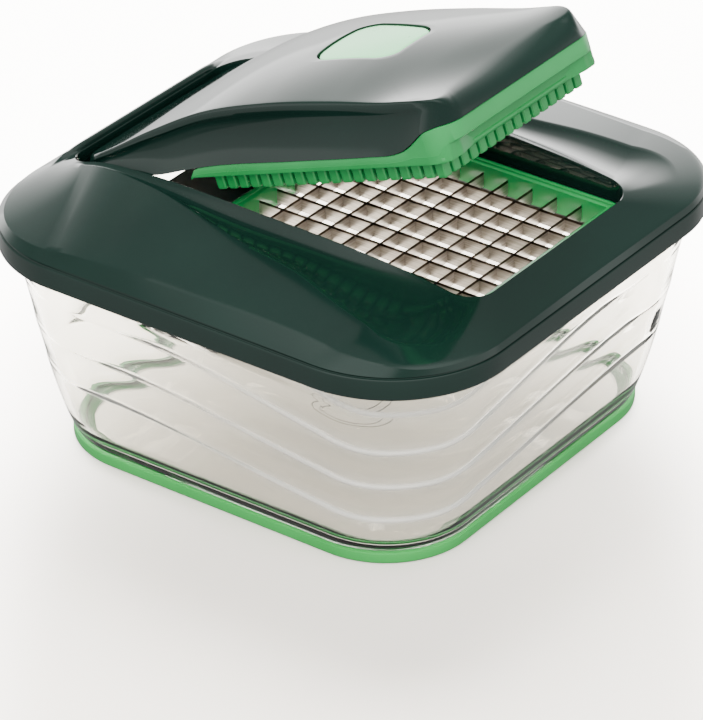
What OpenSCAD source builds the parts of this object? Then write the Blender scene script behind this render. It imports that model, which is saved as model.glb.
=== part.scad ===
// Hand-lever vegetable dicer. Z up, Y to the back (hinge side), origin under the middle of the foot ring.
// Four bodies come apart: the container, the cover with its blade insert, the lever, and the lever's release
// button with its two latch slides. Lever parts are drawn closed and then turned open about the hinge.

/* [Overall] */
// Width of the square cover
cover_w = 236; // [225:1:290]
// Width of the square foot ring
foot_w = 189; // [155:1:200]
// Height of the container's rim above the table
rim_z = 99; // [75:1:125]
// Outer corner radius of the cover
cover_r = 53; // [35:1:60]
// Corner radius of the container at its foot
foot_r = 38.5; // [25:1:50]

/* [Blade grid] */
// Pitch of the blades
cell = 12; // [9:0.1:14.4]
// Cells from side to side
cells_x = 8; // [6:1:9]
// Cells from front to back
cells_y = 10; // [7:1:10]
// Thickness of a blade
blade_t = 0.5; // [0.4:0.1:0.8]
// Height of a blade
blade_h = 6.6; // [5:0.1:8]
// Height of a blade's end tongue
tongue_h = 4; // [2:0.1:5]
// Length of a blade's end tongue
tongue_l = 1.6; // [1:0.1:3]
// Depth of the bevel that sharpens a blade
bevel_h = 0.9; // [0.4:0.1:2]
// Width of the insert frame's bars
frame_w = 4; // [3:0.1:6]
// Height of the insert frame above the blades' edges
frame_lip = 4; // [2:0.1:6]

/* [Stamp] */
// Gap between neighbouring pins
pin_gap = 1.3; // [1.1:0.1:2]
// How far the pins reach below the blades' edges when closed
pin_dip = 3; // [1:0.1:5]
// Length of a pin below the cleaning grid
pin_l = 7.8; // [6:0.1:10]
// Thickness of the cleaning grid
grid_t = 2.2; // [1.6:0.1:3]
// Thickness of the stamp's back plate
stamp_t = 2.8; // [2:0.1:4]

/* [Walls] */
// Wall of the clear container
glass_t = 2.8; // [2:0.1:4]
// Wall of the cover and of the lever's shell
shell_t = 2.5; // [2:0.1:3]
// Depth of the cover's skirt below the rim
skirt_h = 7.3; // [5:0.1:12]
// Height of the foot ring
ring_h = 5; // [4:0.5:8]

/* [Hinge] */
// Angle at which the lever stands open
lever_open = 20.1; // [5:0.1:50]
// Radius of the lever's rear end about the hinge
swing_r = 25.6; // [22:0.1:30]
// Radius of a hinge pin
hinge_pin_r = 3; // [2.4:0.1:4]
// Radial running clearance on a hinge pin
run = 0.05; // [0.02:0.01:0.1]

/* [Release] */
// Travel of the push button
press = 3; // [2:0.1:4]
// Travel of a latch slide for that press
latch_back = 2; // [1.4:0.1:2.4]

/* [Hidden] */
gap = 0.3;                            // parts that sit beside each other
N = 64;                               // points round a loop
// blade grid and what is sized from it
grid_hw = cell * cells_x / 2;
grid_y0 = -cover_w / 2 + 28;
grid_y1 = grid_y0 + cell * cells_y;
edge_z = rim_z + 1.5;                 // blades' cutting edges
insert_hw = grid_hw + frame_w;
insert_top = edge_z + frame_lip;
part_z = edge_z - blade_h / 2;        // plane where the two insert frames meet
insert_z0 = edge_z - blade_h - 1;
// mouth of the cover
mouth_hw = insert_hw + 3.6;
mouth_y0 = grid_y0 - 8;
mouth_y1 = cover_w / 2 - 12.5;
mouth_r = 12;
mouth_wall = 2.6;
seat_top = rim_z + 4;
seat_z0 = insert_z0 - 2.5;
// hinge and lever
hinge_y = mouth_y1 - gap - swing_r;
hinge_z = rim_z - 2.8;
lever_hw = mouth_hw - 2.2;
lever_y0 = mouth_y0 - 1.8;
lever_y1 = hinge_y + swing_r - 0.4;
crease_in = 3.4;                      // the lever's sides lean in by this much
window_hw = lever_hw + 1;
window_y0 = hinge_y - 9.6;              // clear of the lever's ears
web_z1 = rim_z + 1.5;                  // top of the web between blade insert and rear window
tip_z = edge_z - pin_dip;
comb_z0 = tip_z + pin_l;              // underside of the cleaning grid
comb_z1 = comb_z0 + grid_t;
stamp_z0 = comb_z1 + gap;
deck_z0 = stamp_z0 + stamp_t + 0.2;
deck_t = 2.5;
deck_z1 = deck_z0 + deck_t;
comb_hw = lever_hw - 0.4;             // flush with the shell's sides
pin_w = cell / 2 - pin_gap;
pin_y0 = grid_y0 + cell / 4;
lip_z = rim_z + 20.4;                 // top of the front grip, just under the shell's front edge
// release button and latches
button_y = grid_y0 + 57.5;
button_hw = 20;
button_hl = 18.5;
button_r = 8;
cap_t = 2.8;
latch_z0 = deck_z1 + 0.1;
bar_t = 2.2;
bar_hl = 4;
ramp = latch_back / press;
spring_wire = 0.5;
latch_y = button_y - 10.5;
tab_hl = 8;

// ---- loops and skins ----
// Point i of a rounded rectangle: eight steps round each corner and eight along each side
function corner(hx, hy, r, c, a) =
    [(c == 0 || c == 3 ? 1 : -1) * (hx - r) + r * cos(a), (c < 2 ? 1 : -1) * (hy - r) + r * sin(a)];
function loop_pt(hx, hy, r, i) =
    let (c = floor(i / 16), k = i % 16, p = corner(hx, hy, r, c, 90 * c + 90 * min(k, 8) / 8),
         q = corner(hx, hy, r, (c + 1) % 4, 90 * (c + 1)))
    k <= 8 ? p : p + (q - p) * (k - 8) / 8;
function loop(hx, y0, y1, r) = [for (i = [0 : N - 1]) loop_pt(hx, (y1 - y0) / 2, r, i) + [0, (y0 + y1) / 2]];
function square_loop(h, r) = loop(h, -h, h, r);
function mix(a, b, f) = [for (i = [0 : N - 1]) a[i] + (b[i] - a[i]) * f];
function at(pts, z) = [for (p = pts) [p[0], p[1], z]];

// Skin over a stack of loops; an open stack is closed by a fan at each end, a ring-shaped one joins up
module skin(rings, ring_shaped = false) {
    m = len(rings);
    pts = [for (r = rings) each r];
    last = ring_shaped ? m - 1 : m - 2;
    walls = [for (j = [0 : last], i = [0 : N - 1])
        let (a = j * N, b = (j + 1) % m * N, i2 = (i + 1) % N)
        each [[a + i, b + i, b + i2], [a + i, b + i2, a + i2]]];
    if (ring_shaped) polyhedron(pts, walls);
    else {
        first_c = [0, 0, rings[0][0][2]];
        last_c = [0, 0, rings[m - 1][0][2]];
        ends = [for (i = [0 : N - 1]) let (i2 = (i + 1) % N)
            each [[m * N, i, i2], [m * N + 1, (m - 1) * N + i2, (m - 1) * N + i]]];
        polyhedron(concat(pts, [first_c, last_c]), concat(walls, ends));
    }
}

// Flat rounded rectangle with true arcs
module rounded(hx, y0, y1, r) {
    translate([-hx + r, y0]) square([2 * (hx - r), y1 - y0]);
    translate([-hx, y0 + r]) square([2 * hx, y1 - y0 - 2 * r]);
    for (x = [-hx + r, hx - r], y = [y0 + r, y1 - r]) translate([x, y]) circle(r = r, $fn = 64);
}
module slab(z0, z1) { translate([0, 0, z0]) linear_extrude(z1 - z0) children(); }
// Profile in Y and Z carried along X
module along_x(x0, x1) {
    translate([x0, 0, 0]) rotate([90, 0, 90]) linear_extrude(x1 - x0) children();
}
module lever_place() { translate([0, hinge_y, hinge_z]) rotate([-lever_open, 0, 0])
    translate([0, -hinge_y, -hinge_z]) children(); }
module on_side(s) { if (s > 0) children(); else mirror([1, 0, 0]) children(); }

// ---- container ----
foot_gap = 0.3;
foot_hw = foot_w / 2 - 3.3;           // foot of the container, inside the ring
body_z0 = ring_h + 0.2;
body_hw0 = foot_w / 2 - 1.3;
rim_hw = cover_w / 2 - shell_t - 2.4 - 0.5;
floor_z = 7.5;
// Half-width and corner radius of the wall, bulging out quickly at first and then more slowly
function wall_hw(z) = body_hw0 + (rim_hw - body_hw0) * pow((z - body_z0) / (rim_z - body_z0), 0.75);
function wall_r(z) = foot_r + (cover_r - 4 - foot_r) * (z - body_z0) / (rim_z - body_z0);
function wall_loop(z, inset) = at(square_loop(wall_hw(z) - inset, wall_r(z) - inset), z);
wall_steps = [0, 0.05, 0.12, 0.22, 0.36, 0.52, 0.7, 0.86, 1];
module container() color([0.9, 0.95, 0.95, 0.35]) {
    outer = [for (t = wall_steps) wall_loop(body_z0 + t * (rim_z - body_z0), 0)];
    inner = [for (i = [8 : -1 : 2]) wall_loop(body_z0 + wall_steps[i] * (rim_z - body_z0), glass_t)];
    floor_in = body_z0 + wall_steps[2] * (rim_z - body_z0);
    skin(concat([at(square_loop(foot_hw, foot_r - 2), 1), at(square_loop(foot_hw, foot_r - 2), body_z0 - 0.05)],
        outer, inner,
        [at(square_loop(wall_hw(floor_in) - glass_t - 1.8, foot_r - 4), floor_z + 2.4),
         at(square_loop(wall_hw(floor_in) - glass_t - 6, foot_r - 7), floor_z)]));
}
module base_ring() color([0.42, 0.75, 0.44]) {
    lip = 8.6;
    difference() {
        slab(0, ring_h) rounded(foot_w / 2, -foot_w / 2, foot_w / 2, foot_r + 0.5);
        slab(1, ring_h + 1) rounded(foot_hw + foot_gap, -foot_hw - foot_gap, foot_hw + foot_gap, foot_r - 1.7);
        slab(-1, 2) rounded(foot_w / 2 - lip, -foot_w / 2 + lip, foot_w / 2 - lip, foot_r - lip);
    }
}

// ---- cover ----
skirt_z0 = rim_z - skirt_h;
skirt_z1 = rim_z + 2;
cover_hw = cover_w / 2;
// Share of the way from skirt to mouth, and share of the rise reached there
crown = [[0, 0], [0.02, 0.16], [0.06, 0.3], [0.15, 0.42], [0.35, 0.56], [0.6, 0.74], [0.85, 0.92], [1, 1]];
// Height of the mouth's edge above the rim, from the front (0) to the rail at the back (1)
mouth_edge = [[0, 11.6], [0.13, 15], [0.3, 17.6], [0.78, 17.8], [0.96, 13.6], [1, 10.5]];
function edge_top(y) = rim_z + lookup((y - mouth_y0) / (mouth_y1 - mouth_y0), mouth_edge);
function mouth(out) = loop(mouth_hw + out, mouth_y0 - out, mouth_y1 + out, mouth_r + out);
function crown_loop(f, g) = let (a = square_loop(cover_hw, cover_r), b = mouth(0), p = mix(a, b, f))
    [for (i = [0 : N - 1]) [p[i][0], p[i][1], skirt_z1 + (edge_top(b[i][1]) - skirt_z1) * g]];
module cover_shell() color([0.13, 0.24, 0.21]) {
    land_hw = rim_hw - 3.2;
    skirt_in = cover_hw - shell_t;
    back = mouth(mouth_wall);
    land = square_loop(land_hw, cover_r - 8);
    under = [for (i = [0 : N - 1]) [back[i][0], back[i][1], edge_top(back[i][1]) - shell_t - 0.2]];
    half = [for (i = [0 : N - 1]) let (p = (land[i] + back[i]) / 2) [p[0], p[1], (rim_z + 5 + under[i][2]) / 2]];
    skin(concat([at(square_loop(cover_hw, cover_r), skirt_z0)], [for (c = crown) crown_loop(c[0], c[1])],
        [at(mouth(0), seat_top), at(back, seat_top), under, half, at(land, rim_z + 4.4), at(land, rim_z),
         at(square_loop(skirt_in, cover_r - shell_t), rim_z),
         at(square_loop(skirt_in, cover_r - shell_t), skirt_z0)]), true);
}
module seat_frame() color([0.1, 0.16, 0.14]) {
    out = mouth_wall;
    back_y = min(mouth_y1 + out, wall_hw(seat_z0) - glass_t - gap);   // clear of the container's wall
    difference() {
        slab(seat_z0, seat_top) rounded(mouth_hw + out, mouth_y0 - out, back_y, mouth_r + out);
        slab(insert_z0, seat_top + 1)
            rounded(insert_hw + gap, grid_y0 - frame_w - gap, grid_y1 + frame_w + gap, 3 + gap);
        slab(seat_z0 - 1, insert_z0 + 1) rounded(grid_hw + 1.5, grid_y0 - 1.5, grid_y1 + 1.5, 3);
        slab(seat_z0 - 1, seat_top + 1) rounded(window_hw, window_y0, mouth_y1 + gap, mouth_r);
        slab(seat_z0 - 1, seat_top + 1) rounded(window_hw, window_y0, window_y0 + 2 * mouth_r, 2);
        for (z = [[seat_z0 - 1, web_z1 - 3], [web_z1, seat_top + 1]])
            slab(z[0], z[1]) rounded(window_hw, grid_y1 + frame_w + 4, window_y0 + 2 * mouth_r, 4);
        for (s = [-1, 1]) on_side(s) translate([window_hw - 1, hinge_y, hinge_z]) rotate([0, 90, 0])
            cylinder(r = hinge_pin_r + 0.02, h = 12, $fn = 48);
    }
}
module hinge_pin() color([0.78, 0.79, 0.8])
    translate([window_hw - 12, hinge_y, hinge_z]) rotate([0, 90, 0]) {
        reach = mouth_hw + mouth_wall - window_hw + 12;
        cylinder(r = hinge_pin_r, h = reach, $fn = 48);
        translate([0, 0, reach]) cylinder(r = hinge_pin_r + 1.4, h = 1, $fn = 48);
    }
module hinge_pin_left() on_side(-1) hinge_pin();
module hinge_pin_right() on_side(1) hinge_pin();

// ---- blade insert ----
function cross_y(i) = grid_y0 + cell * i;
function long_x(i) = -grid_hw + cell * i;
// Notches for the blades' tongues, with a little room round each
module tongue_notches() {
    notch_h = tongue_h + 0.2;
    notch_t = blade_t + 0.2;
    reach = tongue_l + 0.2;
    for (i = [1 : cells_y - 1]) translate([-grid_hw - reach, cross_y(i) - notch_t / 2, part_z - notch_h / 2])
        cube([2 * (grid_hw + reach), notch_t, notch_h]);
    for (i = [1 : cells_x - 1]) translate([long_x(i) - notch_t / 2, grid_y0 - reach, part_z - notch_h / 2])
        cube([notch_t, grid_y1 - grid_y0 + 2 * reach, notch_h]);
}
module insert_ring(z0, z1) color([0.3, 0.66, 0.4]) difference() {
    slab(z0, z1) difference() {
        rounded(insert_hw, grid_y0 - frame_w, grid_y1 + frame_w, 3);
        translate([-grid_hw, grid_y0]) square([2 * grid_hw, grid_y1 - grid_y0]);
    }
    tongue_notches();
}
module blade_frame_upper() insert_ring(part_z, insert_top);
module blade_frame_lower() insert_ring(insert_z0, part_z);
// One blade along X: bevelled on its upper edge, tongues at its ends, half-height slots where it crosses others
module blade(length, slots, slot_up) color([0.75, 0.76, 0.77]) {
    slot_w = blade_t + 0.1;
    z0 = edge_z - blade_h;
    translate([0, 0, z0]) difference() {
        union() {
            translate([-length / 2, 0, 0]) rotate([90, 0, 90]) linear_extrude(length) polygon(
                [[-blade_t / 2, 0], [blade_t / 2, 0], [blade_t / 2, blade_h - bevel_h], [0.05, blade_h],
                 [-0.05, blade_h], [-blade_t / 2, blade_h - bevel_h]]);
            for (s = [-1, 1]) on_side(s)
                translate([length / 2 - 0.1, -blade_t / 2, (blade_h - tongue_h) / 2])
                    cube([tongue_l + 0.1, blade_t, tongue_h]);
        }
        for (x = slots) translate([x - slot_w / 2, -1, slot_up ? blade_h / 2 - 0.05 : -1])
            cube([slot_w, 2, blade_h / 2 + 1.05]);
    }
}
// Cross blades run side to side and are slotted from above; long blades drop into them from above
module cross_blade(i) translate([0, cross_y(i), 0])
    blade(2 * grid_hw, [for (k = [1 : cells_x - 1]) long_x(k)], true);
module long_blade(i) translate([long_x(i), (grid_y0 + grid_y1) / 2, 0]) rotate([0, 0, 90])
    blade(grid_y1 - grid_y0, [for (k = [1 : cells_y - 1]) cross_y(k) - (grid_y0 + grid_y1) / 2], false);

// ---- lever ----
// Heights above the rim from the lever's front (0) to its back (1): the crease along each side, the bottom edge.
// The front corners flare up a little.
crease_z = [[0, 30.5], [0.05, 31.6], [0.15, 31.9], [0.27, 33.5], [0.44, 34.6], [0.6, 32.9], [0.75, 26.4],
    [0.88, 19.2], [0.96, 15.8], [1, 15]];
low_z = [[0, 20.7], [0.02, 20.7], [0.135, 11.6], [0.2, 10], [0.52, 9], [0.67, 8.9], [0.75, 7.5], [0.82, 9.4],
    [0.95, 7.6], [1, 1.2]];
// How far the top's middle stands above its sides: crowned over most of its length, dipping at the front
crown_z = [[0, -5], [0.06, -2.6], [0.15, 2.6], [0.28, 6.2], [0.41, 7], [0.6, 6], [0.75, 3.4], [0.9, 0.8], [1, 0.5]];
function along(y) = (y - lever_y0) / (lever_y1 - lever_y0);
function top_z(x, y) = rim_z + lookup(along(y), crease_z)
    + lookup(along(y), crown_z) * max(0, 1 - pow(x / (lever_hw - crease_in), 2));
button_z = top_z(0, button_y) + 0.2;     // top of the release button, level with the crown
function on_top(pts, down) = [for (p = pts) [p[0], p[1], top_z(p[0], p[1]) - down]];
function low_edge(pts) = [for (p = pts) [p[0], p[1], rim_z + lookup(along(p[1]), low_z)]];
module lever_shell() color([0.13, 0.24, 0.21]) lever_place() {
    w = shell_t;
    crease_y1 = lever_y1 - 8;
    low = loop(lever_hw, lever_y0, lever_y1, 14);
    low_in = loop(lever_hw - w, lever_y0 + w, lever_y1 - w, 14 - w);
    crease = loop(lever_hw - crease_in, lever_y0 + 2, crease_y1, 13);
    crease_inner = loop(lever_hw - crease_in - w, lever_y0 + 2 + w, crease_y1 - w, 13 - w);
    hole = loop(button_hw, button_y - button_hl, button_y + button_hl, button_r);
    skin(concat([low_edge(low)], [for (f = [0, 0.3, 0.6, 0.85, 1]) on_top(mix(crease, hole, f), 0)],
        [for (f = [1, 0.85, 0.6, 0.3, 0]) on_top(mix(crease_inner, hole, f), w)], [low_edge(low_in)]), true);
}
module lever_base() color([0.12, 0.2, 0.17]) lever_place() {
    deck_hw = grid_hw - 1.9;
    ear_x0 = deck_hw - 4.5;
    rail_l = 9.5;
    difference() {
        union() {
            slab(deck_z0, deck_z1) rounded(deck_hw, grid_y0 + 3.5, hinge_y - 4, 4);
            for (s = [-1, 1]) on_side(s) {
                along_x(ear_x0, lever_hw - 1) translate([hinge_y, hinge_z]) circle(r = 6.5, $fn = 48);
                along_x(ear_x0, deck_hw) polygon([[hinge_y - 14, deck_z1], [hinge_y + 5, deck_z1],
                    [hinge_y + 6.4, hinge_z], [hinge_y - 6.4, hinge_z]]);
                for (y = [button_y - bar_hl - 1.3, button_y + bar_hl + 0.3])
                    translate([28, y, deck_z1]) cube([rail_l, 1, 3]);
                translate([24, latch_y - 3, deck_z1]) cube([3, 5.6, 4.6]);
            }
            translate([0, button_y, deck_z1]) cylinder(r = 3.4, h = 5.5, $fn = 32);
        }
        for (s = [-1, 1]) on_side(s) translate([ear_x0 - 1, hinge_y, hinge_z]) rotate([0, 90, 0])
            cylinder(r = hinge_pin_r + run, h = 20, $fn = 48);
    }
}
module stamp() color([0.33, 0.68, 0.42]) lever_place() {
    hx = grid_hw - pin_gap / 2;
    length = grid_y1 - grid_y0 - pin_gap;
    y0 = grid_y0 + pin_gap / 2;
    slab(stamp_z0, stamp_z0 + stamp_t) rounded(hx + 0.2, y0 - 0.2, y0 + length + 0.2, 1);
    difference() {
        translate([-hx, y0, tip_z]) cube([2 * hx, length, stamp_z0 - tip_z]);
        for (i = [1 : 2 * cells_x - 1])
            translate([-grid_hw + i * cell / 2 - pin_gap / 2, y0 - 1, tip_z - 1])
                cube([pin_gap, length + 2, stamp_z0 - tip_z + 1]);
        for (i = [1 : 2 * cells_y - 1])
            translate([-hx - 1, grid_y0 + i * cell / 2 - pin_gap / 2, tip_z - 1])
                cube([2 * hx + 2, pin_gap, stamp_z0 - tip_z + 1]);
    }
}
module cleaning_grid() color([0.33, 0.68, 0.42]) lever_place() {
    hole_w = pin_w + 0.4;
    step_z = comb_z0 + 7.1;           // where the grip steps out at the front
    // flush with the shell's sides as far as the shell's edge stays above it, and inside them behind that
    wide_y1 = min(grid_y1 + 6, lever_y0 + 0.668 * (lever_y1 - lever_y0));
    slab(comb_z0, comb_z1) difference() {
        union() {
            rounded(comb_hw, grid_y0 - 4.5, wide_y1, 5);
            if (wide_y1 < grid_y1 + 6)
                rounded(lever_hw - shell_t - 0.6, grid_y0 - 4.5, grid_y1 + 6, 5);
        }
        for (i = [0 : 2 * cells_x - 1], j = [0 : 2 * cells_y - 1])
            translate([-grid_hw + (i + 0.5) * cell / 2 - hole_w / 2, pin_y0 + j * cell / 2 - hole_w / 2])
                square(hole_w);
    }
    // front grip and side cheeks, which close the gap up to the shell's edge
    intersection() {
        slab(comb_z1, lip_z) difference() {
            rounded(comb_hw, lever_y0 + 0.3, wide_y1, 12);
            rounded(comb_hw - 2.6, grid_y0 - 2.2, wide_y1 + 1, 3);
        }
        along_x(-comb_hw - 1, comb_hw + 1) polygon([[lever_y0, step_z], [lever_y0, lip_z],
            [lever_y0 + 3.4, lip_z], [grid_y0 + 18, rim_z + 10.8], [grid_y0 + 18, comb_z1],
            [grid_y0 - 4.5, comb_z1], [grid_y0 - 4.5, step_z]]);
    }
    // tabs with windows that the latch slides hook into, clear of the shell's leaning sides
    tab_x = grid_hw + 0.7 * (2.5 - shell_t);
    for (s = [-1, 1]) on_side(s) difference() {
        translate([tab_x, button_y - tab_hl, comb_z1]) cube([1.2, 2 * tab_hl, latch_z0 + bar_t + 2 - comb_z1]);
        translate([grid_hw - 1, button_y - bar_hl - 0.3, latch_z0 - 0.2])
            cube([4, 2 * bar_hl + 0.6, bar_t + 0.4]);
    }
}

// ---- release button, latch slides and springs ----
leg_z = latch_z0 + bar_t + press + 0.5;
ramp_top = latch_z0 + bar_t + 9;
ramp_x0 = 18;                          // foot of the ramp on a latch slide
// Outer face of a slide's ramp at height z
function ramp_x(z) = ramp_x0 - (z - latch_z0 - bar_t) * ramp;
module push_button() color([0.7, 0.9, 0.75]) lever_place() {
    cap_z = button_z - cap_t;
    flange_z = cap_z - 5.2;
    g = 0.4;
    slab(cap_z, button_z)
        rounded(button_hw - g, button_y - button_hl + g, button_y + button_hl - g, button_r - g);
    slab(flange_z, cap_z) difference() {
        rounded(button_hw - g, button_y - button_hl + g, button_y + button_hl - g, button_r - g);
        rounded(button_hw - 2, button_y - button_hl + 2, button_y + button_hl - 2, button_r - 2);
    }
    slab(flange_z, flange_z + 1.2) difference() {
        rounded(button_hw + 1.6, button_y - button_hl - 1.6, button_y + button_hl + 1.6, button_r);
        rounded(button_hw - 1, button_y - button_hl + 1, button_y + button_hl - 1, button_r - 1);
    }
    for (s = [-1, 1]) on_side(s) translate([0, button_y + bar_hl - 0.5, 0]) rotate([90, 0, 0])
        linear_extrude(2 * bar_hl - 1) polygon([[ramp_x(leg_z) + g, leg_z], [ramp_x0 + 0.6, leg_z],
            [ramp_x0 + 0.6, cap_z], [ramp_x(ramp_top) + g, cap_z], [ramp_x(ramp_top) + g, ramp_top]]);
}
module latch_slide() color([0.75, 0.77, 0.76]) {
    tip_x = grid_hw + 1.1;
    z1 = latch_z0 + bar_t;
    translate([9, button_y + bar_hl, 0]) rotate([90, 0, 0]) linear_extrude(2 * bar_hl)
        polygon([[0, latch_z0], [tip_x - 9, latch_z0], [tip_x - 9, z1], [ramp_x0 - 9, z1],
            [ramp_x(ramp_top) - 9, ramp_top], [0, ramp_top]]);
    translate([40, latch_y - 3.2, latch_z0]) cube([3, button_y - bar_hl - latch_y + 3.3, 4.4]);
}
module latch_slide_left() lever_place() on_side(-1) latch_slide();
module latch_slide_right() lever_place() on_side(1) latch_slide();
// Coil spring along Z from 0 to length: a round wire swept round a helix
module coil(r, wire, length, turns, steps, sides) {
    n = turns * steps;
    pts = [for (k = [0 : n], j = [0 : sides - 1])
        let (a = 360 * k / steps, b = 360 * j / sides, q = r + wire * cos(b))
        [q * cos(a), q * sin(a), wire + (length - 2 * wire) * k / n + wire * sin(b)]];
    sides_f = [for (k = [0 : n - 1], j = [0 : sides - 1])
        let (a = k * sides + j, b = k * sides + (j + 1) % sides)
        each [[a, a + sides, b + sides], [a, b + sides, b]]];
    polyhedron(pts, concat(sides_f, [[for (j = [0 : sides - 1]) j]],
        [[for (j = [sides - 1 : -1 : 0]) n * sides + j]]));
}
module button_spring() color("silver") lever_place() translate([0, button_y, deck_z1 + 0.1])
    coil(4.6, spring_wire, button_z - cap_t - deck_z1 - 0.2, 7, 14, 6);
module latch_spring() color("silver") translate([27.1, latch_y, latch_z0 + 2.5]) rotate([0, 90, 0])
    coil(1.7, 0.35, 12.8, 8, 10, 5);
module latch_spring_left() lever_place() on_side(-1) latch_spring();
module latch_spring_right() lever_place() on_side(1) latch_spring();

container();
base_ring();
cover_shell();
seat_frame();
blade_frame_upper();
blade_frame_lower();
hinge_pin_left();
hinge_pin_right();
lever_shell();
lever_base();
stamp();
cleaning_grid();
push_button();
button_spring();
latch_slide_left();
latch_slide_right();
latch_spring_left();
latch_spring_right();
cross_blade(1);  // cross_blade_1
cross_blade(2);  // cross_blade_2
cross_blade(3);  // cross_blade_3
cross_blade(4);  // cross_blade_4
cross_blade(5);  // cross_blade_5
cross_blade(6);  // cross_blade_6
cross_blade(7);  // cross_blade_7
cross_blade(8);  // cross_blade_8
cross_blade(9);  // cross_blade_9
long_blade(1);  // long_blade_1
long_blade(2);  // long_blade_2
long_blade(3);  // long_blade_3
long_blade(4);  // long_blade_4
long_blade(5);  // long_blade_5
long_blade(6);  // long_blade_6
long_blade(7);  // long_blade_7
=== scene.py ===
# A hand-lever vegetable dicer: a clear catching container on a green foot ring, a glossy dark green cover with
# a grid of steel blades in its mouth, and a lever hinged at the back that presses food through with a stamp of
# 320 pins. Sections follow the order in which it is put together. Lengths in the sections are in millimetres.
import math
import bpy
import numpy as np
from mathutils import Matrix, Vector


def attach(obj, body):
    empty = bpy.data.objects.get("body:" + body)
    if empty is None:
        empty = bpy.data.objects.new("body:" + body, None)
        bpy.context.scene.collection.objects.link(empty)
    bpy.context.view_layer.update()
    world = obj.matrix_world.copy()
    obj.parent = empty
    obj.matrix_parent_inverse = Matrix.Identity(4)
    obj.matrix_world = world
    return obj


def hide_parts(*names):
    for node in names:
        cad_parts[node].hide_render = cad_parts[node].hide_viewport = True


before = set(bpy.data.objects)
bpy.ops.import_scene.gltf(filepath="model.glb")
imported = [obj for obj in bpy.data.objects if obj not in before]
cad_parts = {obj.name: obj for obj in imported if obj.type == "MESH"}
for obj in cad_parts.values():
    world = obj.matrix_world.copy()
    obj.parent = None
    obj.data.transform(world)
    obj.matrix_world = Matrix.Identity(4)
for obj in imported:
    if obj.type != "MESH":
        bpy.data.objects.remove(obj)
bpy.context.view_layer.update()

# ---- studio: camera, light and floor ----
# A product stand: the object on a pale matt floor, soft daylight lamps above it, and a light tent whose
# bright rim stands low behind it, so that gloss shows on surfaces that lean away.
CAMERA_AT = (-1.3291, -0.9760, 1.0144)
CAMERA_AZIMUTH, CAMERA_ELEVATION, CAMERA_ROLL = -53.65, 30.99, -0.38
LENS, SENSOR = 233.13, 36.0


def linear(hex_colour):
    """sRGB hex to linear RGBA: the low end is divided by 12.92, the rest is a power of 2.4."""
    c = np.array([int(hex_colour[i:i + 2], 16) for i in (1, 3, 5)]) / 255
    c = np.where(c <= 0.04045, c / 12.92, ((c + 0.055) / 1.055) ** 2.4)
    return (*c.tolist(), 1.0)


def add_node(tree, kind, links=None, **settings):
    """Adds a node, sets its properties, and gives its inputs the values or links in the dict."""
    new = tree.nodes.new(kind)
    for key, value in settings.items():
        setattr(new, key, value)
    for key, value in (links or {}).items():
        if isinstance(value, bpy.types.NodeSocket):
            tree.links.new(value, new.inputs[key])
        else:
            new.inputs[key].default_value = value
    return new


def set_ramp(ramp, stops):
    """Gives a Color Ramp node its stops, a list of (position, RGBA)."""
    elements = ramp.color_ramp.elements
    while len(elements) < len(stops):
        elements.new(0.5)
    for element, (position, colour) in zip(elements, stops):
        element.position, element.color = position, colour
    return ramp


def turned(azimuth, elevation):
    """Unit vector towards a place at that azimuth (0 is the front, 90 the right) and elevation, in degrees."""
    a, e = math.radians(azimuth), math.radians(elevation)
    return Vector((math.sin(a) * math.cos(e), -math.cos(a) * math.cos(e), math.sin(e)))


camera = bpy.data.objects.new("camera", bpy.data.cameras.new("camera"))
bpy.context.scene.collection.objects.link(camera)
camera.data.lens, camera.data.sensor_width = LENS, SENSOR
camera.data.clip_start, camera.data.clip_end = 0.05, 20
back = turned(CAMERA_AZIMUTH, CAMERA_ELEVATION)
level = Vector((math.cos(math.radians(CAMERA_AZIMUTH)), math.sin(math.radians(CAMERA_AZIMUTH)), 0))
upright = back.cross(level)
roll = math.radians(CAMERA_ROLL)
right = level * math.cos(roll) + upright * math.sin(roll)
up = upright * math.cos(roll) - level * math.sin(roll)
camera.matrix_world = Matrix.Translation(CAMERA_AT) @ Matrix((right, up, back)).transposed().to_4x4()
bpy.context.scene.camera = camera

# Brightness of the tent by height, 0 straight down, 0.5 level and 1 straight up, on the side of the room that
# the camera looks towards and on its own side
TENT_BEHIND = [(0.0, 0.4), (0.25, 0.6), (0.36, 1.6), (0.49, 3.6), (0.51, 5.8), (0.58, 5.6), (0.66, 3.2),
               (0.75, 0.9), (0.84, 0.35), (0.9, 0.45), (0.96, 1.4), (1.0, 1.5)]
TENT_BEFORE = [(0.0, 0.4), (0.3, 0.6), (0.49, 0.8), (0.51, 1.3), (0.6, 1.1), (0.7, 0.55), (0.84, 0.35),
               (0.9, 0.45), (0.96, 1.4), (1.0, 1.5)]
TENT_PEAK, TENT_BLUE = 6.0, 0.985
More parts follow.
